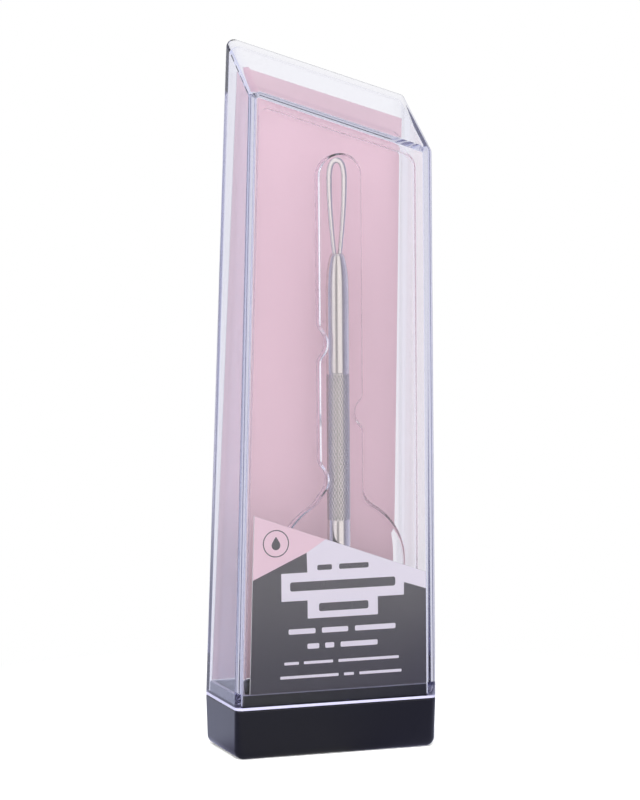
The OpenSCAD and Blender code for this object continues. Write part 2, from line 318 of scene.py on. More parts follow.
def shell_rings(t, r, foot, heights=()):
    """Rings of a leaning rounded block, t inside the skin, from its foot over the top's edge."""
    c, steps = case(), EDGE_STEPS
    walls = {
        "front": Vector((0, -1, c.face_draft)).normalized(),
        "right": Vector((1, 0, c.right_draft)).normalized(),
        "back": Vector((0, 1, c.face_draft)).normalized(),
        "left": Vector((-1, 0, c.left_draft)).normalized(),
    }
    pairs = (("left", "front"), ("front", "right"), ("right", "back"), ("back", "left"))
    up = Vector((c.top_fall, -c.top_rise, 1)).normalized()
    feet, tops, ways = [], [], []
    for (sx, sy), (a, b) in zip(CORNERS, pairs):
        z = meet_z(sx, sy, t + r)
        for i in range(steps + 1):
            feet.append(Vector((side_x(sx, foot, t + r), side_y(sy, foot, t + r), foot)))
            tops.append(Vector((side_x(sx, z, t + r), side_y(sy, z, t + r), z)))
            ways.append(slerp(walls[a], walls[b], i / steps))
    rings = [[p + r * Vector((n.x, n.y, 0)) for p, n in zip(feet, ways)]]
    for k in range(steps + 1):
        rings.append([p + r * slerp(n, up, k / steps) for p, n in zip(tops, ways)])
    for share in heights:
        rings.insert(1, [a.lerp(b, share) for a, b in zip(rings[0], rings[-steps - 1])])
    return rings


def flat_ring(t, r, z):
    """A ring at height z around a rounded oblong, t inside the skin."""
    ring, level, steps = [], max(z, case().base_height), EDGE_STEPS
    for k, (sx, sy) in enumerate(CORNERS):
        x, y = side_x(sx, level, t + r), side_y(sy, level, t + r)
        for i in range(steps + 1):
            a = math.radians(180 + 90 * k + 90 * i / steps)
            ring.append(Vector((x + r * math.cos(a), y + r * math.sin(a), z)))
    return ring


def quarter(steps, first=1):
    """Sine and cosine at even steps over a quarter turn."""
    for k in range(first, steps + 1):
        a = math.radians(90 * k / steps)
        yield math.sin(a), math.cos(a)


def loft(rings, cap_first=False, cap_last=False):
    """Points and faces of a skin over rings of equal length."""
    verts, faces, n = [], [], len(rings[0])
    for ring in rings:
        verts += ring
    for k in range(len(rings) - 1):
        bridge(faces, k * n, (k + 1) * n, n)
    if cap_first:
        faces.append(tuple(range(n)))
    if cap_last:
        faces.append(tuple(range((len(rings) - 1) * n, len(rings) * n)))
    return verts, faces


# Shader helpers


class Nodes:
    """A short way to place and join shader nodes."""

    def __init__(self, tree):
        self.tree = tree

    def add(self, kind, inputs=None, **settings):
        node = self.tree.nodes.new(kind)
        for key, value in settings.items():
            setattr(node, key, value)
        for key, value in (inputs or {}).items():
            socket = node.inputs[key]
            if isinstance(value, bpy.types.NodeSocket):
                self.tree.links.new(value, socket)
            else:
                socket.default_value = value
        return node

    def math(self, operation, *values):
        inputs = dict(enumerate(values))
        return self.add("ShaderNodeMath", inputs, operation=operation).outputs[0]

    def vector(self, operation, *values):
        inputs = dict(enumerate(values))
        return self.add("ShaderNodeVectorMath", inputs, operation=operation).outputs

    def scaled(self, vector, factor):
        inputs = {0: vector, "Scale": factor}
        return self.add("ShaderNodeVectorMath", inputs, operation="SCALE").outputs[0]

    def noise(self, place, scale, detail, distortion=0.0):
        inputs = {"Vector": place, "Scale": scale, "Detail": detail, "Distortion": distortion}
        return self.add("ShaderNodeTexNoise", inputs).outputs["Fac"]

    def ramp(self, value, low, high, a=0.0, b=1.0):
        """A smooth way from a to b while the value goes from low to high."""
        inputs = {"Value": value, "From Min": low, "From Max": high, "To Min": a, "To Max": b}
        node = self.add("ShaderNodeMapRange", inputs, interpolation_type="SMOOTHSTEP")
        return node.outputs[0]

    def bump(self, height, strength, distance):
        inputs = {"Height": height, "Strength": strength, "Distance": distance}
        return self.add("ShaderNodeBump", inputs).outputs[0]

    def mix(self, share, a, b):
        node = self.add("ShaderNodeMix", data_type="RGBA")
        for index, value in ((0, share), (6, a), (7, b)):
            if isinstance(value, bpy.types.NodeSocket):
                self.tree.links.new(value, node.inputs[index])
            else:
                node.inputs[index].default_value = value
        return node.outputs[2]


def group(name, inputs, outputs, build):
    """A shader node group with named sockets, built once."""
    if name in bpy.data.node_groups:
        return bpy.data.node_groups[name]
    tree = bpy.data.node_groups.new(name, "ShaderNodeTree")
    kinds = {"f": "NodeSocketFloat", "c": "NodeSocketColor", "v": "NodeSocketVector"}
    for label, kind, default in inputs:
        socket = tree.interface.new_socket(label, in_out="INPUT", socket_type=kinds[kind])
        if default is not None:
            socket.default_value = default
    for label, kind in outputs:
        tree.interface.new_socket(label, in_out="OUTPUT", socket_type=kinds[kind])
    n = Nodes(tree)
    ins = tree.nodes.new("NodeGroupInput")
    outs = tree.nodes.new("NodeGroupOutput")
    for label, socket in build(n, ins.outputs).items():
        tree.links.new(socket, outs.inputs[label])
    return tree


def paper_grain():
    """Fine fibres and faint mottling of printed card."""

    def build(n, i):
        fine = n.noise(i["Place"], i["Scale"], 6.0)
        broad = n.noise(i["Place"], 60.0, 2.0)
        both = n.math("MULTIPLY_ADD", fine, 0.6, n.math("MULTIPLY", broad, 0.4))
        shade = n.math("MULTIPLY_ADD", n.math("SUBTRACT", both, 0.5), i["Amount"], 1.0)
        return {"Colour": n.scaled(i["Colour"], shade), "Height": fine}

    inputs = [
        ("Place", "v", None),
        ("Colour", "c", None),
        ("Scale", "f", 3000.0),
        ("Amount", "f", 0.06),
    ]
    return group("paper_grain", inputs, [("Colour", "c"), ("Height", "f")], build)


def handling_marks():
    """Hair scratches and faint smudges, as a change of roughness and a height."""

    def build(n, i):
        hair = n.noise(i["Place"], i["Scale"], 3.0, 0.6)
        lines = n.math("POWER", hair, 6.0)
        smear = n.math("SUBTRACT", n.noise(i["Place"], 45.0, 2.0), 0.5)
        both = n.math("ADD", lines, smear)
        rough = n.math("MULTIPLY_ADD", both, i["Amount"], i["Roughness"])
        return {"Roughness": n.math("MAXIMUM", rough, 0.0), "Height": hair}

    inputs = [
        ("Place", "v", None),
        ("Scale", "f", 900.0),
        ("Roughness", "f", 0.1),
        ("Amount", "f", 0.05),
    ]
    return group("handling_marks", inputs, [("Roughness", "f"), ("Height", "f")], build)


def new_material(name):
    """An empty material and the means to fill it."""
    mat = bpy.data.materials.new(name)
    mat.use_nodes = True
    mat.node_tree.nodes.clear()
    return mat, Nodes(mat.node_tree)


def stretched(n, factors):
    """Object coordinates, stretched along the row's axes."""
    place = n.add("ShaderNodeTexCoord").outputs["Object"]
    return n.add("ShaderNodeMapping", {"Vector": place, "Scale": factors}).outputs[0]


def use_group(n, tree, inputs):
    """Place a node group with its own values."""
    node = n.add("ShaderNodeGroup", node_tree=tree)
    for key, value in inputs.items():
        if isinstance(value, bpy.types.NodeSocket):
            n.tree.links.new(value, node.inputs[key])
        else:
            node.inputs[key].default_value = value
    return node.outputs


def opaque(color):
    """The colour with full alpha."""
    return (*color, 1.0)


def clear_plastic(name, color, rim, roughness, ior, depth_tint=None):
    """Polished clear plastic that lets lamp light through to what it holds.

    rim is a painted shade that it takes where it is seen at a slant, and depth_tint the colour of its
    thickness.
    """
    mat, n = new_material(name)
    wear = use_group(n, handling_marks(), {
        "Place": stretched(n, (1, 1, 0.25)), "Scale": 900.0,
        "Roughness": roughness, "Amount": 0.02,
    })
    facing = n.add("ShaderNodeLayerWeight", {"Blend": 0.5}).outputs["Facing"]
    # Painted shade: the colour goes over to rim as the surface turns edge-on.
    edge = n.ramp(facing, 0.55, 1.0)
    skin = n.add("ShaderNodeBsdfPrincipled", {
        "Base Color": n.mix(edge, opaque(color), opaque(rim)), "Roughness": wear["Roughness"],
        "IOR": ior, "Transmission Weight": 1.0,
    })
    shadow = n.add("ShaderNodeLightPath").outputs["Is Shadow Ray"]
    open_way = n.add("ShaderNodeBsdfTransparent", {"Color": opaque(color)})
    mix = n.add("ShaderNodeMixShader", {0: shadow, 1: skin.outputs[0], 2: open_way.outputs[0]})
    out = n.add("ShaderNodeOutputMaterial", {"Surface": mix.outputs[0]})
    if depth_tint:
        body = n.add("ShaderNodeVolumeAbsorption", {"Color": opaque(depth_tint), "Density": 20.0})
        n.tree.links.new(body.outputs[0], out.inputs["Volume"])
    return mat


CARD_CORE = (0.8, 0.78, 0.8)  # colour of the card's cut edge
HOLLOW_SHADE = 0.6  # brightness of the painted shade in the knurl's hollows, as a share of the steel's colour


def card_print(name, color, roughness):
    """Printed card: ink over fine fibre, paler where the cut edge shows."""
    mat, n = new_material(name)
    grain = use_group(n, paper_grain(), {
        "Place": stretched(n, (1, 1, 1)), "Colour": opaque(color),
        "Scale": 3500.0, "Amount": 0.05,
    })
    face = n.add("ShaderNodeNewGeometry").outputs["Normal"]
    across = n.add("ShaderNodeSeparateXYZ", {0: face}).outputs["Y"]
    on_face = n.math("GREATER_THAN", n.math("ABSOLUTE", across), 0.7)
    skin = n.add("ShaderNodeBsdfPrincipled", {
        "Base Color": n.mix(on_face, opaque(CARD_CORE), grain["Colour"]), "Roughness": roughness,
        "Normal": n.bump(grain["Height"], 0.08, 0.00005), "Specular IOR Level": 0.35,
    })
    n.add("ShaderNodeOutputMaterial", {"Surface": skin.outputs[0]})
    return mat


def steel(name, color, roughness, depth):
    """Satin stainless with fine turning lines round its axis, and painted shade in a knurl's hollows.
    """
    mat, n = new_material(name)
    place = stretched(n, (0.05, 0.05, 1))
    wear = use_group(n, handling_marks(), {
        "Place": place, "Scale": 4000.0, "Roughness": roughness, "Amount": 0.05,
    })
    dull = use_group(n, paper_grain(), {
        "Place": place, "Colour": opaque(color), "Scale": 3000.0, "Amount": 0.1,
    })
    skin = n.add("ShaderNodeBsdfPrincipled", {
        "Base Color": painted_light_blend(n, dull["Colour"], [v * HOLLOW_SHADE for v in color]),
        "Metallic": 1.0, "Roughness": wear["Roughness"],
        "Normal": n.bump(wear["Height"], depth, 0.00001),
    })
    n.add("ShaderNodeOutputMaterial", {"Surface": skin.outputs[0]})
    return mat


def painted_light_blend(n, color, other):
    """The piece's colour, going over to a painted highlight or painted shade where its points are
    tinted.
    """
    share = n.add("ShaderNodeAttribute", attribute_name="tint").outputs["Fac"]
    return n.mix(share, color, opaque(other))


def painted_glow_edge(name, color):
    """Painted glow: an opaque satin band on clear plastic, pale where it stands in for the light in
    the wall leaving it.
    """
    mat, n = new_material(name)
    grain = use_group(n, paper_grain(), {
        "Place": stretched(n, (1, 1, 1)), "Colour": opaque(color), "Scale": 500.0, "Amount": 0.2,
    })
    skin = n.add("ShaderNodeBsdfPrincipled", {
        "Base Color": grain["Colour"], "Roughness": 0.3, "Specular IOR Level": 0.3,
    })
    n.add("ShaderNodeOutputMaterial", {"Surface": skin.outputs[0]})
    return mat


def moulded_plastic(name, color, edge):
    """Glossy dark moulding with a faint skin, hair scratches and a painted highlight along its tinted
    edge.
    """
    mat, n = new_material(name)
    place = stretched(n, (1, 1, 1))
    wear = use_group(n, handling_marks(), {
        "Place": place, "Scale": 700.0, "Roughness": 0.12, "Amount": 0.08,
    })
    shade = use_group(n, paper_grain(), {
        "Place": place, "Colour": opaque(color), "Scale": 400.0, "Amount": 0.25,
    })
    skin = n.add("ShaderNodeBsdfPrincipled", {
        "Base Color": painted_light_blend(n, shade["Colour"], edge), "Roughness": wear["Roughness"],
        "Normal": n.bump(wear["Height"], 0.05, 0.00002), "Specular IOR Level": 0.4,
    })
    n.add("ShaderNodeOutputMaterial", {"Surface": skin.outputs[0]})
    return mat


# The case


LIT_FOOT = 0.8  # faces that lie wholly within this height of the cover's foot get the painted glow, in mm
LIT_SHARE = 0.0046  # where a ring bounds that band, as a share of the wall's height
LEDGE_EDGE = 0.25  # rounding of the base's ledge, in mm
RIM_EDGE = 0.2  # rounding of the rim's top, in mm
CUP_EDGE = 0.5  # rounding round the floor of the cup, in mm


class CASE_OT_cover(bpy.types.Operator):
    """Build the clear cover with its slanted top"""

    bl_idname = "case.cover"
    bl_label = "Clear cover"

    def execute(self, context):
        c = case()
        foot = c.base_height + c.seat_gap
        outer = shell_rings(0, c.edge_radius, foot, (LIT_SHARE,))
        inner = shell_rings(c.wall, c.inner_radius, foot)
        n = len(outer[0])
        verts, faces = loft(outer)
        faces.append(tuple(range(len(verts) - n, len(verts))))
        start = len(verts)
        more, inside = loft(inner)
        verts += more
        faces += [tuple(start + i for i in f[::-1]) for f in inside]
        faces.append(tuple(range(len(verts) - n, len(verts)))[::-1])
        bridge(faces, start, 0, n)
        col = paint()
        mat = clear_plastic("clear_cover", col.cover, col.rim, 0.015, 1.49, (0.15, 0.15, 0.42))
        shell = piece("cover_shell", verts, faces, "cover", mat, ("case_cover",),
                      sharp=50)
        weighted(shell)
        # The foot band gets the painted glow in place of the clear plastic.
        shell.data.materials.append(painted_glow_edge("cover_foot_painted_glow", paint().painted_foot_glow))
        for face in shell.data.polygons:
            if all(shell.data.vertices[i].co.z < (foot + LIT_FOOT) * MM for i in face.vertices):
                face.material_index = 1
        return {"FINISHED"}


class CASE_OT_base(bpy.types.Operator):
    """Build the dark base with its cup, ledge and rim"""

    bl_idname = "case.base"
    bl_label = "Dark base"

    def execute(self, context):
        c = case()
        ledge = c.base_height
        shoulder, out = ledge - LEDGE_EDGE, c.wall + c.rim_clearance
        tip, rim_r = ledge + c.rim_height, c.inner_radius - c.rim_clearance
        bend = tip - RIM_EDGE
        inn, in_r = out + c.rim_wall, c.inner_radius
        rings = []
        low = c.base_draft * (ledge - c.foot_radius)
        for sin, cos in quarter(8, 0):
            r = max(c.foot_radius * sin, 0.02)
            rings.append(flat_ring(low + c.foot_radius - r, r, c.foot_radius * (1 - cos)))
        rings.append(flat_ring(0, c.edge_radius, shoulder))
        for sin, cos in quarter(4):
            inset = LEDGE_EDGE * (1 - cos)
            rings.append(flat_ring(inset, c.edge_radius - inset, shoulder + LEDGE_EDGE * sin))
        rings += [flat_ring(out, rim_r, ledge), flat_ring(out, rim_r, bend)]
        for sin, cos in quarter(4):
            inset = RIM_EDGE * (1 - cos)
            rings.append(flat_ring(out + inset, rim_r - inset, bend + RIM_EDGE * sin))
        for sin, cos in quarter(4, 0):
            inset = RIM_EDGE * (1 - sin)
            rings.append(flat_ring(inn - inset, in_r + inset, bend + RIM_EDGE * cos))
        rings.append(flat_ring(inn, in_r, ledge))
        for sin, cos in quarter(4, 0):
            inset = CUP_EDGE * (1 - cos)
            rings.append(flat_ring(inn + inset, in_r - inset, c.floor + CUP_EDGE - CUP_EDGE * sin))
        verts, faces = loft(rings, cap_first=True, cap_last=True)
        mat = moulded_plastic("dark_base", paint().base, paint().rim_highlight)
        # Points on the rim's rounded top carry the painted highlight.
        lit = [v.z > bend + 1e-4 for v in verts]
        weighted(piece("base_moulding", verts, faces, "base", mat, ("case_base",),
                       tint=lit))
        return {"FINISHED"}


# The tray


BULGES = ((-1, 85.5), (1, 71.0), (-1, 57.1))  # side and height of each gripping bulge, in mm
POCKET_CORNER = 2.0  # rounding of the pocket's lower corners
SCOOP_BLEND, BULGE_BLEND = 2.6, 0.9  # width of the soft turns into the scoop and the bulges
CARD_GAP = 0.1  # gap between the tray's open back and the backing card
# The recess from its lip to its floor: distance out from its outline, and depth below the face.
RECESS_PROFILE = (
    (0.35, 0.0), (0.24, 0.02), (0.14, 0.07), (0.06, 0.15), (0.0, 0.28), (-0.08, 1.1), (-0.2, 2.2),
    (-0.34, 3.1), (-0.5, 3.7), (-0.78, 4.22), (-1.2, 4.62), (-1.7, 4.88), (-2.2, 5.0),
)


def blend_min(a, b, k):
    """The lesser of two distances, with a soft turn of width k between them."""
    h = max(0.0, min(1.0, 0.5 + 0.5 * (b - a) / k))
    return b + (a - b) * h - k * h * (1 - h)


def recess_distance(x, z):
    """Distance in mm outside (above 0) or inside (below 0) the tray's recess."""
    s, u = tray(), tool()
    dx = abs(x - u.place)
    end = s.pocket_top - s.pocket_half
    if z > end:
        pocket = math.hypot(dx, z - end) - s.pocket_half
    else:
        qx = dx - s.pocket_half + POCKET_CORNER
        qz = s.pocket_low - z + POCKET_CORNER
        pocket = math.hypot(max(qx, 0), max(qz, 0)) + min(max(qx, qz), 0) - POCKET_CORNER
    scoop = math.hypot(x - u.place, z - s.scoop_height) - s.scoop_radius
    d = blend_min(pocket, scoop, SCOOP_BLEND)
    reach = s.pocket_half - u.radius - s.bulge_gap
    r = (s.bulge_length**2 / 4 + reach**2) / (2 * reach)
    for side, height in BULGES:
        bulge = math.hypot(x - u.place - side * (s.pocket_half - reach + r), z - height) - r
        d = -blend_min(-d, bulge, BULGE_BLEND)
    return d


def recess_slope(x, z, h=1e-3):
    """Which way, and how fast, the distance grows."""
    return Vector((
        (recess_distance(x + h, z) - recess_distance(x - h, z)) / (2 * h),
        (recess_distance(x, z + h) - recess_distance(x, z - h)) / (2 * h),
    ))


def to_level(p, level):
    """Move a point straight to a given distance from the recess's outline."""
    for _ in range(4):
        g = recess_slope(p.x, p.y)
        p = p + g * ((level - recess_distance(p.x, p.y)) / max(g.length_squared, 0.3))
    return p


def recess_outline(step=0.42):
    """Points round the recess's edge, in order."""
    s, u = tray(), tool()
    p = to_level(Vector((u.place + s.pocket_half, 95.0)), 0)
    points, start, gone = [p], p, 0.0
    while True:
        g = recess_slope(p.x, p.y).normalized()
        p = to_level(p + Vector((-g.y, g.x)) * step, 0)
        gone += step
        if gone > 20 * step and (p - start).length < step * 0.75:
            return points
        points.append(p)


def tray_back(z):
    """How far back the tray reaches at height z."""
    c, s = case(), tray()
    return min(
        c.depth - 2 * c.face_draft * (z - c.base_height) - s.face,
        s.card_depth - s.card_slope * (z - s.card_foot) - CARD_GAP,
    )


def tray_ring(inset, depth):
    """Points round the tray's outline, inset from it, at one depth or at the open back."""
    c, s = case(), tray()
    half = c.width / 2 - s.inset
    foot = half - s.foot_inset
    near_top, roof_run = 130, 12  # a height near the top, and about how far back the roof runs

    def left(z):
        return -min(foot, half - c.left_draft * (z - c.base_height))

    def roof(x):
        return s.top + c.top_fall * (s.top_place - x)

    bend = c.base_height + (half - foot) / c.left_draft
    lz = roof(left(near_top) + s.edge) - s.edge * 1.05
    rz = roof(half - s.corner) - s.corner * 1.05
    slope = math.degrees(math.atan(c.top_fall))
    tilt = math.degrees(math.atan(c.left_draft))
    corners = (
        (-foot + s.edge, s.bottom + s.edge, s.edge, 180, 270, 0),
        (half - s.edge, s.bottom + s.edge, s.edge, 270, 360, 0),
        (half - s.corner, rz, s.corner, 0, 90 - slope, s.top_rise),
        (left(lz) + s.edge, lz, s.edge, 90 - slope, 180 - tilt, s.top_rise),
        (-foot + s.edge, bend, s.edge, 180 - tilt, 180, 0),
    )
    out = []
    for x, z, r, a0, a1, rise in corners:
        back = tray_back(z + r + roof_run * rise) if depth is None else depth
        lift = rise * max(0, back - s.face - s.edge)
        for i in range(9):
            a = math.radians(a0 + (a1 - a0) * i / 8)
            q = max(r - inset, 0.02)
            point = Vector((x + q * math.cos(a), back, z + lift + q * math.sin(a)))
            if a0 in (180, 270) and z < bend:
                point.z = s.bottom + (point.z - s.bottom) * s.foot_edge / s.edge
            out.append(point)
    return out


def tray_skin(t):
    """Rings of the recess and of the rim, on the sheet's front (t 0) or t behind it."""
    s = tray()
    stretch = s.pocket_depth / RECESS_PROFILE[-1][1]
    turn = [Vector((out, deep * stretch)) for out, deep in RECESS_PROFILE]
    outline = recess_outline()
    recess = []
    for k, p in enumerate(turn):
        d = turn[min(k + 1, len(turn) - 1)] - turn[max(k - 1, 0)]
        n = Vector((d.y, -d.x)).normalized() if 0 < k < len(turn) - 1 else Vector((0, 1))
        level, depth = p.x + t * n.x, p.y + t * n.y
        ring = []
        for q in outline:
            q = to_level(q, level)
            below = max(0, s.pocket_low - q.y)
            ring.append(Vector((q.x, s.face + depth, q.y + 0.8 * below)))
        recess.append(ring)
    rim = []
    for k in range(9):
        a = math.radians(90 * k / 8)
        r = s.edge - t
        rim.append(tray_ring(s.edge - r * math.sin(a), s.face + s.edge - r * math.cos(a)))
    rim.append(tray_ring(t, None))
    return recess, rim


class CASE_OT_tray(bpy.types.Operator):
    """Build the clear formed tray with its pocket, scoop and gripping bulges"""

    bl_idname = "case.tray"
    bl_label = "Clear tray"

    def execute(self, context):
        verts, faces, backs = [], [], []
        for t in (0, tray().sheet):
            recess, rim = tray_skin(t)
            n, m = len(recess[0]), len(rim[0])
            start = len(verts)
            for ring in recess:
                verts += ring
            for k in range(len(recess) - 1):
                bridge(faces, start + (k + 1) * n, start + k * n, n)
            last = start + (len(recess) - 1) * n
            for tri in tessellate_polygon([verts[last : last + n]]):
                faces.append(tuple(last + i for i in tri))
            outer = len(verts)
            for ring in rim:
                verts += ring
            for k in range(len(rim) - 1):
                bridge(faces, outer + k * m, outer + (k + 1) * m, m)
            index = list(range(outer, outer + m)) + list(range(start, start + n))
            for tri in tessellate_polygon([verts[outer : outer + m], verts[start : start + n]]):
                faces.append(tuple(index[i] for i in tri))
            backs.append(outer + (len(rim) - 1) * m)
        bridge(faces, backs[0], backs[1], m)
        # Painted shade: the tray goes over to a dull mauve where it is seen at a slant.
        mat = clear_plastic("clear_tray", paint().tray, (0.8, 0.74, 0.82), 0.03, 1.12)
        weighted(piece("formed_tray", verts, faces, "insert", mat, ("tool_tray",),
                       lean(), sharp=50))
        return {"FINISHED"}


# The tool


KNURL_TURNS = 22  # diamonds round the grip
KNURL_STEPS = 6  # points over one diamond, round the grip and along it
RIDGE = 3.6  # how steeply a ridge of the knurl falls to its hollow
TIP_EDGE = 0.28  # rounding at the handle's ends, in mm
GRIP_END = ((0.25, 0.0), (0.12, 0.02), (0.0, 0.1))  # past the grip's end, and below the handle's skin
# A loop's widest point (share of its reach), the pull on its legs (mm, and height as a share),
# where it starts to swell (share), and how round its end is.
LOOP_SHAPES = {
    "narrow": (0.765, 1.05, 0.195, 0.49, 0.76),
    "wide": (0.69, 1.0, 0.22, 0.46, 0.6),
}


def on_axis():
    """From the tool's own axis to the case."""
    u = tool()
    return lean() @ Matrix.Translation((u.place, u.depth, 0))


def taper(h):
    """Radius of the handle's blunt end, h past the start of its taper."""
    u = tool()
    return u.radius - (u.radius - u.tip) * (h / u.taper) ** 4


def ridge(turn):
    """Height of the nearest knurl line, 1 on the line and less than 0 far from it."""
    return 1 - RIDGE * abs((turn + 0.5) % 1 - 0.5)


class CASE_OT_handle(bpy.types.Operator):
    """Build the round handle with its knurled grip"""

    bl_idname = "case.handle"
    bl_label = "Handle"

    def execute(self, context):
        u = tool()
        around = KNURL_TURNS * KNURL_STEPS
        half, straight = u.handle / 2, u.handle / 2 - u.taper
        grip, soft = u.grip / 2, TIP_EDGE
        rows = [(half, 0.05), (half, u.tip - soft)]
        for sin, cos in quarter(4):
            rows.append((half - soft * (1 - cos), u.tip - soft + soft * sin))
        for k in range(1, 25):
            h = u.taper * (1 - (k / 24) ** 1.5)
            if half - soft > straight + h:
                rows.append((straight + h, taper(h)))
        rows += [(grip + past, u.radius - deep) for past, deep in GRIP_END]
        count = round(u.grip / u.knurl_pitch * KNURL_STEPS)
        knurl = [(grip - 2 * grip * i / count, None) for i in range(1, count)]
        low = [(-z, r) for z, r in reversed(rows)]
        rings, tint = [], []
        for z, r in rows + knurl + low:
            ring = []
            for i in range(around):
                a = 2 * math.pi * i / around
                rr, line = r, 0
                if r is None:
                    p, q = i / KNURL_STEPS, z / u.knurl_pitch
                    line = max(ridge(p + q), ridge(p - q), 0)
                    edge = min(1, (grip - abs(z)) / 0.3)
                    rr = u.radius - u.knurl_depth * (1 - line) * edge - 0.03 * (1 - edge)
                    # Share of painted shade: full in the knurl's hollows, none on its lines.
                    line = (1 - line) * edge
                ring.append(Vector((rr * math.cos(a), rr * math.sin(a), u.middle + z)))
                tint.append(line)
            rings.append(ring)
        verts, faces = loft(rings, True, True)
        mat = steel("satin_steel", paint().steel, 0.2, 0.1)
        piece("knurled_handle", verts, faces, "tool", mat, ("handle",), on_axis(),
              sharp=70, tint=tint)
        return {"FINISHED"}


def curve(points, t):
    """Point at share t of a curve with two ends and two handles."""
    a, b, c, d = (Vector(p) for p in points)
    return a * (1 - t) ** 3 + b * 3 * t * (1 - t) ** 2 + c * 3 * t * t * (1 - t) + d * t**3


def wire_loop(name, half, wire, shape, upper, node):
    """A bent wire loop with round legs and a flattened end."""
    u = tool()
    reach = (u.length - u.handle) / 2
    widest, pull, pull_height, swell_height, roundness = shape
    full, end = reach * widest, reach - wire / 2
    swell = ((u.leg_offset, 0), (pull, pull_height * reach), (half, swell_height * reach),
             (half, full))
    turn = ((half, full), (half, full + (end - full) * 0.58), (half * roundness, end), (0, end))
    side = [Vector((u.leg_offset, z)) for z in (-3.0, -1.4, -0.5)]
    side += [curve(swell, i / 18) for i in range(19)]
    side += [curve(turn, i / 16) for i in range(1, 17)]
    path = side + [Vector((-p.x, p.y)) for p in reversed(side[:-1])]
    around, rings = 20, []
    for i, p in enumerate(path):
        a, b = path[max(i - 1, 0)], path[min(i + 1, len(path) - 1)]
        d = (b - a).normalized()
        g = min(1, max(0, p.y / full))
        w = u.leg + (wire - u.leg) * g
        f = u.leg + (u.flat - u.leg) * g
        e = 1 - 0.35 * g
        ring = []
        for j in range(around):
            turned = 2 * math.pi * j / around
            cs, sn = math.cos(turned), math.sin(turned)
            x = math.copysign(abs(cs) ** e, cs) * w / 2
            y = math.copysign(abs(sn) ** e, sn) * f / 2
            ring.append(Vector((p.x + d.y * x, y, p.y - d.x * x)))
        rings.append(ring)
    verts, faces = loft(rings, True, True)
    if upper:
        place = on_axis() @ Matrix.Translation((0, 0, u.middle + u.handle / 2))
    else:
        place = on_axis() @ Matrix.Translation((0, 0, u.middle - u.handle / 2))
        place = place @ Matrix.Rotation(math.pi, 4, "X")
    mat = bpy.data.materials.get("polished_wire")
    mat = mat or steel("polished_wire", paint().wire, 0.18, 0.05)
    piece(name, verts, faces, "tool", mat, (node,), place, sharp=60)


class CASE_OT_loops(bpy.types.Operator):
    """Bend the narrow loop and the wide loop"""

    bl_idname = "case.loops"
    bl_label = "Wire loops"

    def execute(self, context):
        u = tool()
        narrow, wide = LOOP_SHAPES["narrow"], LOOP_SHAPES["wide"]
        wire_loop("narrow_wire", u.narrow_half, u.narrow_wire, narrow, True, "narrow_loop")
        wire_loop("wide_wire", u.wide_half, u.wide_wire, wide, False, "wide_loop")
        return {"FINISHED"}


# Cards and print


LABEL_DEPTH = 1.85  # depth of the label's front behind the case's front, in mm
LABEL_TOP = ((-17.56, 50.7), (20.2, 37.05))  # ends of the label's slanted top edge
INK = 0.02  # thickness of a printed film
OVERPRINT = 0.022  # height of the film that is printed over another
LIGHT_BARS = (  # height, thickness and ends of the pale bars in each row
    (26.1, 1.1, ((-10.3, -4.4), (-3.0, 2.8), (4.3, 13.3))),
    (22.9, 1.1, ((-6.2, -3.6), (-2.3, -0.3), (1.1, 9.3))),
    (19.5, 0.6, ((-11.3, -8.1), (-7.0, -0.6), (0.6, 14.0))),
    (16.6, 0.6, ((-12.2, 0.6), (1.8, 4.0), (5.2, 14.6))),
)


def label_frame():
    """From places on the label card, x across and y up, to the case; z is out to the front."""
    return lean() @ Matrix(((1, 0, 0, 0), (0, 0, -1, LABEL_DEPTH), (0, 1, 0, 0), (0, 0, 0, 1)))


def ink(name, shapes, material, level=0):
    """Flat printed shapes as one thin film on the label card; a pair of outlines is a band."""
    verts, faces = [], []
    for shape in shapes:
        pair = isinstance(shape[0], list)
        start = len(verts)
        for outline in shape if pair else [shape]:
            n = len(outline)
            for height in (level, level + INK):
                verts += [(x, y, height) for x, y in outline]
            bridge(faces, len(verts) - 2 * n, len(verts) - n, n)
        if pair:
            bridge(faces, start, start + 2 * n, n)
            bridge(faces, start + n, start + 3 * n, n)
        else:
            faces.append(tuple(range(start + n, start + 2 * n)))
            faces.append(tuple(range(start, start + n))[::-1])
    piece(name, verts, faces, "insert", material, (), label_frame(), sharp=30)


def bar(x0, x1, y, h):
    """A bar with rounded ends."""
    r = h / 4
    out = []
    for cx, cy, a0 in ((x1 - r, y + h / 2 - r, 0), (x0 + r, y + h / 2 - r, 90),
                       (x0 + r, y - h / 2 + r, 180), (x1 - r, y - h / 2 + r, 270)):
        for i in range(6):
            a = math.radians(a0 + 90 * i / 5)
            out.append((cx + r * math.cos(a), cy + r * math.sin(a)))
    return out


def round_line(cx, cy, r, w, count=64):
    """The two circles of a thin ring."""
    turns = [2 * math.pi * i / count for i in range(count)]
    return [[(cx + q * math.cos(a), cy + q * math.sin(a)) for a in turns] for q in (r, r - w)]


def drop(cx, cy, count=28):
    """A plain drop, pointed at its top."""
    out = []
    for i in range(count):
        a = 2 * math.pi * i / count
        pull = max(0.0, math.cos(a)) ** 3
        x = cx + 0.95 * math.sin(a) * (1 - 0.55 * pull)
        out.append((x, cy + 1.0 * math.cos(a) + 0.75 * pull))
    return out[::-1]


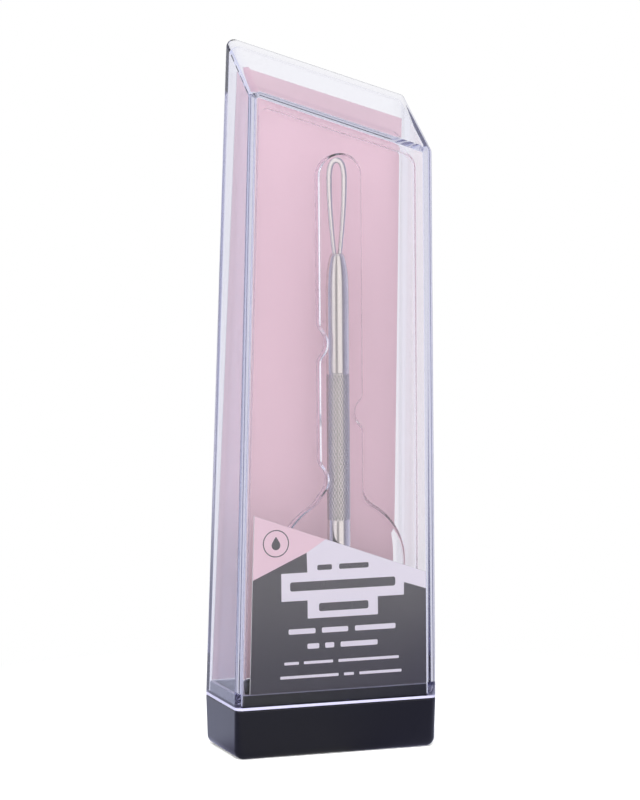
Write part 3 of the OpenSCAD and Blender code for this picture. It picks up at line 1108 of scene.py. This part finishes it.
class CASE_OT_cards(bpy.types.Operator):
    """Print the backing card and the label card"""

    bl_idname = "case.cards"
    bl_label = "Cards and print"

    def execute(self, context):
        col = paint()
        pink = card_print("pink_card", col.pink, 0.6)
        dark = card_print("dark_print", col.dark, 0.45)
        corner = card_print("pink_print", col.corner, 0.5)
        pale = card_print("pale_print", col.pale, 0.5)
        for node, mat in (("backing_card", pink), ("label_card", dark)):
            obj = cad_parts[node]
            obj.data.materials.clear()
            obj.data.materials.append(mat)

        def top(x):
            (x0, y0), (x1, y1) = LABEL_TOP
            return y0 + (x - x0) * (y1 - y0) / (x1 - x0)

        left_top, left_low = (-17.5, top(-17.5) - 0.02), (-18.0, 37.25)
        peak, notch = (-1.99, top(-1.99)), (-6.21, 42.47)
        ink("print_corner", [[left_low, notch, peak, left_top]], corner)
        field = [peak, notch, (-6.1, 38.35), (-11.8, 38.35), (-11.8, 32.5), (-6.1, 32.5),
                 (-6.1, 28.7), (9.4, 28.7), (9.4, 32.5), (15.2, 32.5), (15.25, 35.15),
                 (20.18, 33.55), (20.18, top(20.18) - 0.02)]
        ink("print_field", [field], pale)
        shapes = [bar(-3.9, -0.7, 39.25, 1.1), bar(0.9, 7.4, 39.25, 1.1)]
        shapes += [bar(-9.9, 13.3, 35.5, 1.9), bar(-3.6, 7.3, 30.95, 1.7)]
        shapes += [round_line(-12.9, 44.7, 2.85, 0.22), drop(-12.9, 44.35)]
        ink("print_dark_bars", shapes, dark, OVERPRINT)
        light = [bar(x0, x1, y, h) for y, h, ends in LIGHT_BARS for x0, x1 in ends]
        ink("print_light_bars", light, pale)
        return {"FINISHED"}


# The studio


# Lamps: degrees round from the camera, height, distance and width in metres, and watts.
LAMPS = {
    "box_front": (-4, 0.2, 0.95, 1.3, 15.0),
    "box_top": (-8, 0.75, 0.3, 0.7, 3.6),
}
SCREENS = ((-0.64, 0.27), (0.38, 0.34))  # middle and half width of each lit screen, to the side
AIM_HEIGHT = 0.075  # height that the lamps look at, in metres
AIM_RIGHT = 0.00008  # how far right of the middle the camera looks, in metres
BOUNCES = 32  # light goes through many clear walls


def view_frame():
    """Right, up and back as seen from the camera."""
    s = studio()
    a, e = s.azimuth, s.elevation
    back = Vector((-math.sin(a) * math.cos(e), -math.cos(a) * math.cos(e), math.sin(e)))
    right = Vector((math.cos(a), -math.sin(a), 0))
    up = right.cross(-back)
    return right, up, back


def softbox(name, angle, height, distance, width, power):
    """A square lamp aimed at the case; it isn't mirrored, because the room is."""
    _, _, back = view_frame()
    way = Matrix.Rotation(math.radians(angle), 3, "Z") @ Vector((back.x, back.y, 0)).normalized()
    data = bpy.data.lights.new(name, "AREA")
    data.size = width
    data.energy = power
    lamp = bpy.data.objects.new(name, data)
    place = way * distance + Vector((0, 0, height))
    lamp.location = place
    aim = Vector((0, 0, AIM_HEIGHT))
    lamp.rotation_euler = (place - aim).to_track_quat("Z", "Y").to_euler()
    lamp.visible_glossy = False
    lamp.visible_transmission = False
    bpy.context.scene.collection.objects.link(lamp)


def mirrored_room():
    """What polished pieces mirror: white behind, lilac sides, two lit screens in front."""

    def build(n, i):
        _, _, back = view_frame()
        right = Vector((-back.y, back.x, 0)).normalized()
        ahead = Vector((back.x, back.y, 0)).normalized()
        level = n.vector("MULTIPLY", i["Way"], (1, 1, 0))["Vector"]
        way = n.vector("NORMALIZE", level)["Vector"]
        front = n.vector("DOT_PRODUCT", way, ahead)["Value"]
        side = n.vector("DOT_PRODUCT", way, right)["Value"]
        dim = n.ramp(front, -0.2, 0.75, 1.0, 0.4)
        flank = n.ramp(n.math("ABSOLUTE", side), 0.4, 0.9)
        edge = n.mix(n.ramp(front, -0.3, 0.3), (0.72, 0.75, 1.0, 1), (0.5, 0.5, 0.74, 1))
        tint = n.mix(flank, (0.97, 0.97, 1, 1), edge)
        lit = 0.0
        for centre, half in SCREENS:
            away = n.math("ABSOLUTE", n.math("SUBTRACT", side, centre))
            lit = n.math("ADD", lit, n.ramp(away, half - 0.04, half + 0.05, 1.0, 0.0))
        lit = n.math("MULTIPLY", n.math("MULTIPLY", lit, i["Screens"]), n.ramp(front, 0.1, 0.3))
        return {"Colour": n.mix(lit, n.scaled(tint, dim), (1.3, 1.28, 1.26, 1))}

    inputs = [("Way", "v", None), ("Screens", "f", 1.0)]
    return group("mirrored_room", inputs, [("Colour", "c")], build)


def seen_room(n, way, screens):
    """White light, and the room's colours only where a polished piece mirrors it."""
    room = use_group(n, mirrored_room(), {"Way": way, "Screens": screens})["Colour"]
    depth = n.add("ShaderNodeLightPath").outputs["Glossy Depth"]
    return n.mix(n.math("MINIMUM", depth, 1.0), (1, 1, 1, 1), room)


def paper_floor():
    """A pale floor that shows the case's shadow near it and plain white beyond."""
    bpy.ops.mesh.primitive_plane_add(size=12, location=(0, 0, -0.00002))
    floor = bpy.context.object
    floor.name = "floor"
    mat, n = new_material("floor_paper")
    place = n.add("ShaderNodeTexCoord").outputs["Object"]
    grain = use_group(n, paper_grain(), {
        "Place": place, "Colour": (0.95, 0.95, 0.95, 1), "Scale": 300.0, "Amount": 0.01,
    })
    skin = n.add("ShaderNodeBsdfDiffuse", {"Color": grain["Colour"], "Roughness": 0.9})
    reach = n.vector("LENGTH", place)["Value"]
    colour = seen_room(n, place, n.ramp(reach, 0.06, 0.3))
    white = n.add("ShaderNodeEmission", {"Color": colour, "Strength": 1.0})
    path = n.add("ShaderNodeLightPath").outputs
    through = n.math("MAXIMUM", path["Is Camera Ray"], path["Is Transmission Ray"])
    seen = n.math("MULTIPLY", n.ramp(reach, 0.03, 0.12), through)
    share = n.math("MAXIMUM", seen, path["Is Glossy Ray"])
    mix = n.add("ShaderNodeMixShader", {0: share, 1: skin.outputs[0], 2: white.outputs[0]})
    n.add("ShaderNodeOutputMaterial", {"Surface": mix.outputs[0]})
    floor.data.materials.append(mat)


def white_room(scene):
    """White surroundings, seen in colour only where they are mirrored."""
    world = bpy.data.worlds.new("studio")
    scene.world = world
    world.use_nodes = True
    world.node_tree.nodes.clear()
    n = Nodes(world.node_tree)
    way = n.add("ShaderNodeTexCoord").outputs["Generated"]
    lit = n.add("ShaderNodeBackground", {"Color": seen_room(n, way, 1.0), "Strength": 1.0})
    n.add("ShaderNodeOutputWorld", {"Surface": lit.outputs[0]})


def camera_at_view(scene):
    """The camera at the fitted place, looking at the case."""
    s = studio()
    right, up, back = view_frame()
    data = bpy.data.cameras.new("camera")
    data.sensor_fit = "VERTICAL"
    data.sensor_height = 36
    data.lens = s.lens
    data.clip_start, data.clip_end = 0.05, 20
    camera = bpy.data.objects.new("camera", data)
    turn = Matrix.Rotation(-s.roll, 3, back)
    axes = Matrix((turn @ right, turn @ up, back)).transposed().to_4x4()
    target = Vector((0, 0, s.target_height * MM)) + right * AIM_RIGHT
    camera.matrix_world = Matrix.Translation(target + back * s.distance * MM) @ axes
    scene.collection.objects.link(camera)
    scene.camera = camera


class CASE_OT_stage(bpy.types.Operator):
    """Set the floor, the surroundings, the lamps and the camera"""

    bl_idname = "case.stage"
    bl_label = "Stage"

    def execute(self, context):
        scene, s = context.scene, studio()
        paper_floor()
        white_room(scene)
        for name, (angle, height, distance, width, power) in LAMPS.items():
            softbox(name, angle, height, distance, width, power * s.softbox)
        camera_at_view(scene)
        scene.view_settings.view_transform = "Standard"
        scene.cycles.caustics_refractive = True
        scene.cycles.caustics_reflective = False
        scene.cycles.max_bounces = BOUNCES
        scene.cycles.glossy_bounces = BOUNCES
        scene.cycles.transmission_bounces = BOUNCES
        scene.cycles.transparent_max_bounces = BOUNCES
        return {"FINISHED"}


class CASE_PT_panel(bpy.types.Panel):
    """The pieces of the case and its tool"""

    bl_idname = "CASE_PT_panel"
    bl_label = "Clear case"
    bl_space_type = "VIEW_3D"
    bl_region_type = "UI"
    bl_category = "Case"

    def draw(self, context):
        for operator in OPERATORS:
            self.layout.operator(operator.bl_idname)


OPERATORS = (
    CASE_OT_cover, CASE_OT_base, CASE_OT_tray, CASE_OT_handle, CASE_OT_loops, CASE_OT_cards,
    CASE_OT_stage,
)
PLACES = {
    "case_sizes": CaseSizes,
    "tray_sizes": TraySizes,
    "tool_sizes": ToolSizes,
    "case_colours": Colours,
    "case_studio": Studio,
}


def register():
    for cls in PARTS + OPERATORS + (CASE_PT_panel,):
        bpy.utils.register_class(cls)
    for name, cls in PLACES.items():
        setattr(bpy.types.Scene, name, PointerProperty(type=cls))


def unregister():
    for name in PLACES:
        delattr(bpy.types.Scene, name)
    for cls in reversed(PARTS + OPERATORS + (CASE_PT_panel,)):
        bpy.utils.unregister_class(cls)


def main():
    register()
    bpy.ops.case.base()
    bpy.ops.case.cover()
    bpy.ops.case.tray()
    bpy.ops.case.cards()
    bpy.ops.case.handle()
    bpy.ops.case.loops()
    bpy.ops.case.stage()


if __name__ == "__main__":
    main()
